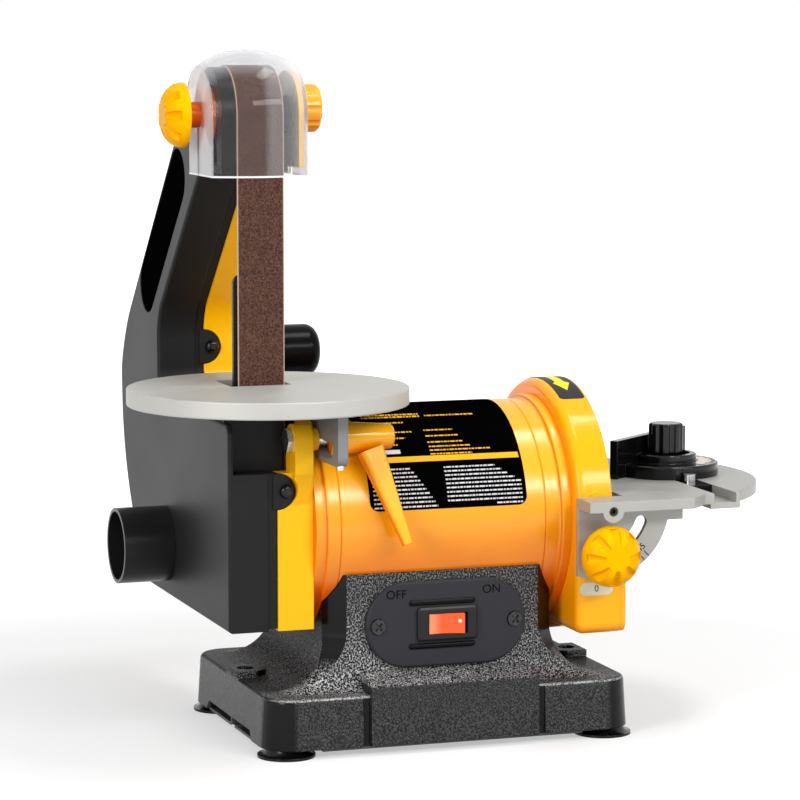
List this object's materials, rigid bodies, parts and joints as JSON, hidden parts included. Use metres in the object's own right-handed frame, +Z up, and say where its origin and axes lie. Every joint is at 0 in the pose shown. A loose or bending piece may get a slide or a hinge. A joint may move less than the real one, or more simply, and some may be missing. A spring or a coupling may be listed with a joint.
{
  "type": "belt and disc sander",
  "caption": "Bench sander with an upright narrow belt on a round tilting table, and a guarded disc with a slotted tilting table and miter gauge, on one motor and a cast base.",
  "frame": {"origin": "on the bench, in the middle of the four feet", "axes": "+X along the motor shaft from the belt to the disc, -Y towards the operator, +Z up"},
  "size_m": [0.3644, 0.2933, 0.3685],
  "materials": {
    "base_black": "wrinkle paint",
    "orange_paint": "gloss paint",
    "cover_black": "satin",
    "table_metal": "cast and ground",
    "foot_rubber": "gloss",
    "steel": "zinc plated",
    "black_screw": "black oxide",
    "motor_iron": "laminated",
    "black_steel": "satin paint",
    "wheel_alloy": "turned",
    "belt_grit": "grit",
    "disc_grit": "grit",
    "clear": "clear",
    "yellow_plastic": "gloss",
    "orange_plastic": "gloss",
    "switch_black": "matte",
    "grip_black": "gloss",
    "rocker_red": "gloss",
    "miter_black": "gloss paint"
  },
  "bodies": {
    "frame": {"base_casting": "base_black", "belt_cover": "cover_black", "belt_frame": "orange_paint", "bottom_plate": "steel", "capacitor": "switch_black", "clamp_bolt": "steel", "clear_hood": "clear", "cover_screws": "black_screw", "disc_guard": "orange_paint", "disc_lock_stud": "steel", "disc_lower_cover": "orange_paint", "disc_pivot_screws": "steel", "dust_port": "cover_black", "flange_screws": "steel", "foot_screws": "steel", "head_bracket": "orange_paint", "head_bracket_screws": "steel", "motor_left_bell": "orange_paint", "motor_right_bell": "orange_paint", "motor_shell": "orange_paint", "platen": "black_steel", "platen_screws": "steel", "rubber_feet": "foot_rubber", "sanding_belt": "belt_grit", "shaft_bearings": "steel", "stator": "motor_iron", "switch_housing": "switch_black", "switch_plate": "switch_black", "switch_plate_screws": "steel", "tension_pin": "steel", "top_wheel_axle": "steel", "wheel_yoke": "black_steel"},
    "rotor": {"rotor_core": "motor_iron", "motor_shaft": "steel", "drive_wheel": "wheel_alloy", "drive_wheel_nut": "steel", "disc_plate": "table_metal", "abrasive_disc": "disc_grit"},
    "top_wheel": {"top_wheel": "wheel_alloy", "top_wheel_bearings": "steel"},
    "tension_arm": {"tension_arm": "black_steel", "tension_grip": "grip_black", "rear_axle": "steel"},
    "rear_wheel": {"rear_wheel": "wheel_alloy", "rear_wheel_bearings": "steel"},
    "belt_table": {"belt_table": "table_metal", "table_trunnion": "table_metal", "trunnion_screws": "steel", "table_stop_screw": "steel"},
    "clamp_lever": {"clamp_lever": "orange_plastic"},
    "disc_table": {"disc_table": "table_metal"},
    "disc_lock_knob": {"disc_lock_knob": "yellow_plastic"},
    "miter_bar": {"miter_bar": "miter_black", "pointer_screw": "steel"},
    "miter_head": {"miter_head": "miter_black"},
    "miter_knob": {"miter_knob": "grip_black"},
    "rocker": {"rocker": "rocker_red"},
    "tracking_knob": {"tracking_knob": "orange_plastic"},
    "star_knob": {"star_knob": "yellow_plastic", "knob_stem": "orange_plastic"}
  },
  "joints": [
    {"name": "rotor_spin", "type": "hinge", "parent": "frame", "child": "rotor", "pos_m": [0, 0, 0.116], "axis": [1, 0, 0], "continuous": true},
    {"name": "top_wheel_spin", "type": "hinge", "parent": "frame", "child": "top_wheel", "pos_m": [-0.0922, -0.004, 0.334], "axis": [1, 0, 0], "continuous": true},
    {"name": "tension_release", "type": "hinge", "parent": "frame", "child": "tension_arm", "pos_m": [-0.0702, 0.118, 0.14], "axis": [1, 0, 0], "range_deg": [0, 8], "stiffness_Nm_per_rad": 1, "springref_deg": -8.59},
    {"name": "rear_wheel_spin", "type": "hinge", "parent": "tension_arm", "child": "rear_wheel", "pos_m": [-0.0922, 0.15007, 0.178], "axis": [1, 0, 0], "continuous": true},
    {"name": "belt_table_tilt", "type": "hinge", "parent": "frame", "child": "belt_table", "pos_m": [-0.0686, -0.067, 0.193], "axis": [1, 0, 0], "range_deg": [0, 45]},
    {"name": "clamp_lever_turn", "type": "hinge", "parent": "frame", "child": "clamp_lever", "pos_m": [-0.0631, -0.052, 0.1655], "axis": [1, 0, 0], "range_deg": [-60, 0]},
    {"name": "disc_table_tilt", "type": "hinge", "parent": "frame", "child": "disc_table", "pos_m": [0.083, 0, 0.1253], "axis": [0, 1, 0], "range_deg": [0, 45]},
    {"name": "disc_lock_turn", "type": "hinge", "parent": "frame", "child": "disc_lock_knob", "pos_m": [0.083, -0.073, 0.101], "axis": [0, 1, 0], "range_deg": [-180, 180]},
    {"name": "miter_slide", "type": "slide", "parent": "disc_table", "child": "miter_bar", "axis": [0, 1, 0], "range_m": [-0.045, 0.04]},
    {"name": "miter_swivel", "type": "hinge", "parent": "miter_bar", "child": "miter_head", "pos_m": [0.1523, 0, 0.1309], "axis": [0, 0, 1], "range_deg": [-99.5, 20.5]},
    {"name": "miter_knob_turn", "type": "hinge", "parent": "miter_bar", "child": "miter_knob", "pos_m": [0.1523, 0, 0.152], "axis": [0, 0, 1], "range_deg": [-180, 180]},
    {"name": "rocker_tilt", "type": "hinge", "parent": "frame", "child": "rocker", "pos_m": [0.001, -0.057, 0.065], "axis": [0, 0, 1], "range_deg": [0, 16]},
    {"name": "tracking_turn", "type": "hinge", "parent": "frame", "child": "tracking_knob", "pos_m": [-0.0679, -0.004, 0.337], "axis": [1, 0, 0], "range_deg": [-180, 180]},
    {"name": "star_knob_turn", "type": "hinge", "parent": "frame", "child": "star_knob", "pos_m": [-0.1267, -0.004, 0.334], "axis": [1, 0, 0], "range_deg": [-180, 180]}
  ],
  "couplings": [
    {"joint": "top_wheel_spin", "follows": "rotor_spin", "ratio": 1.1619},
    {"joint": "rear_wheel_spin", "follows": "rotor_spin", "ratio": 1.3226}
  ]
}
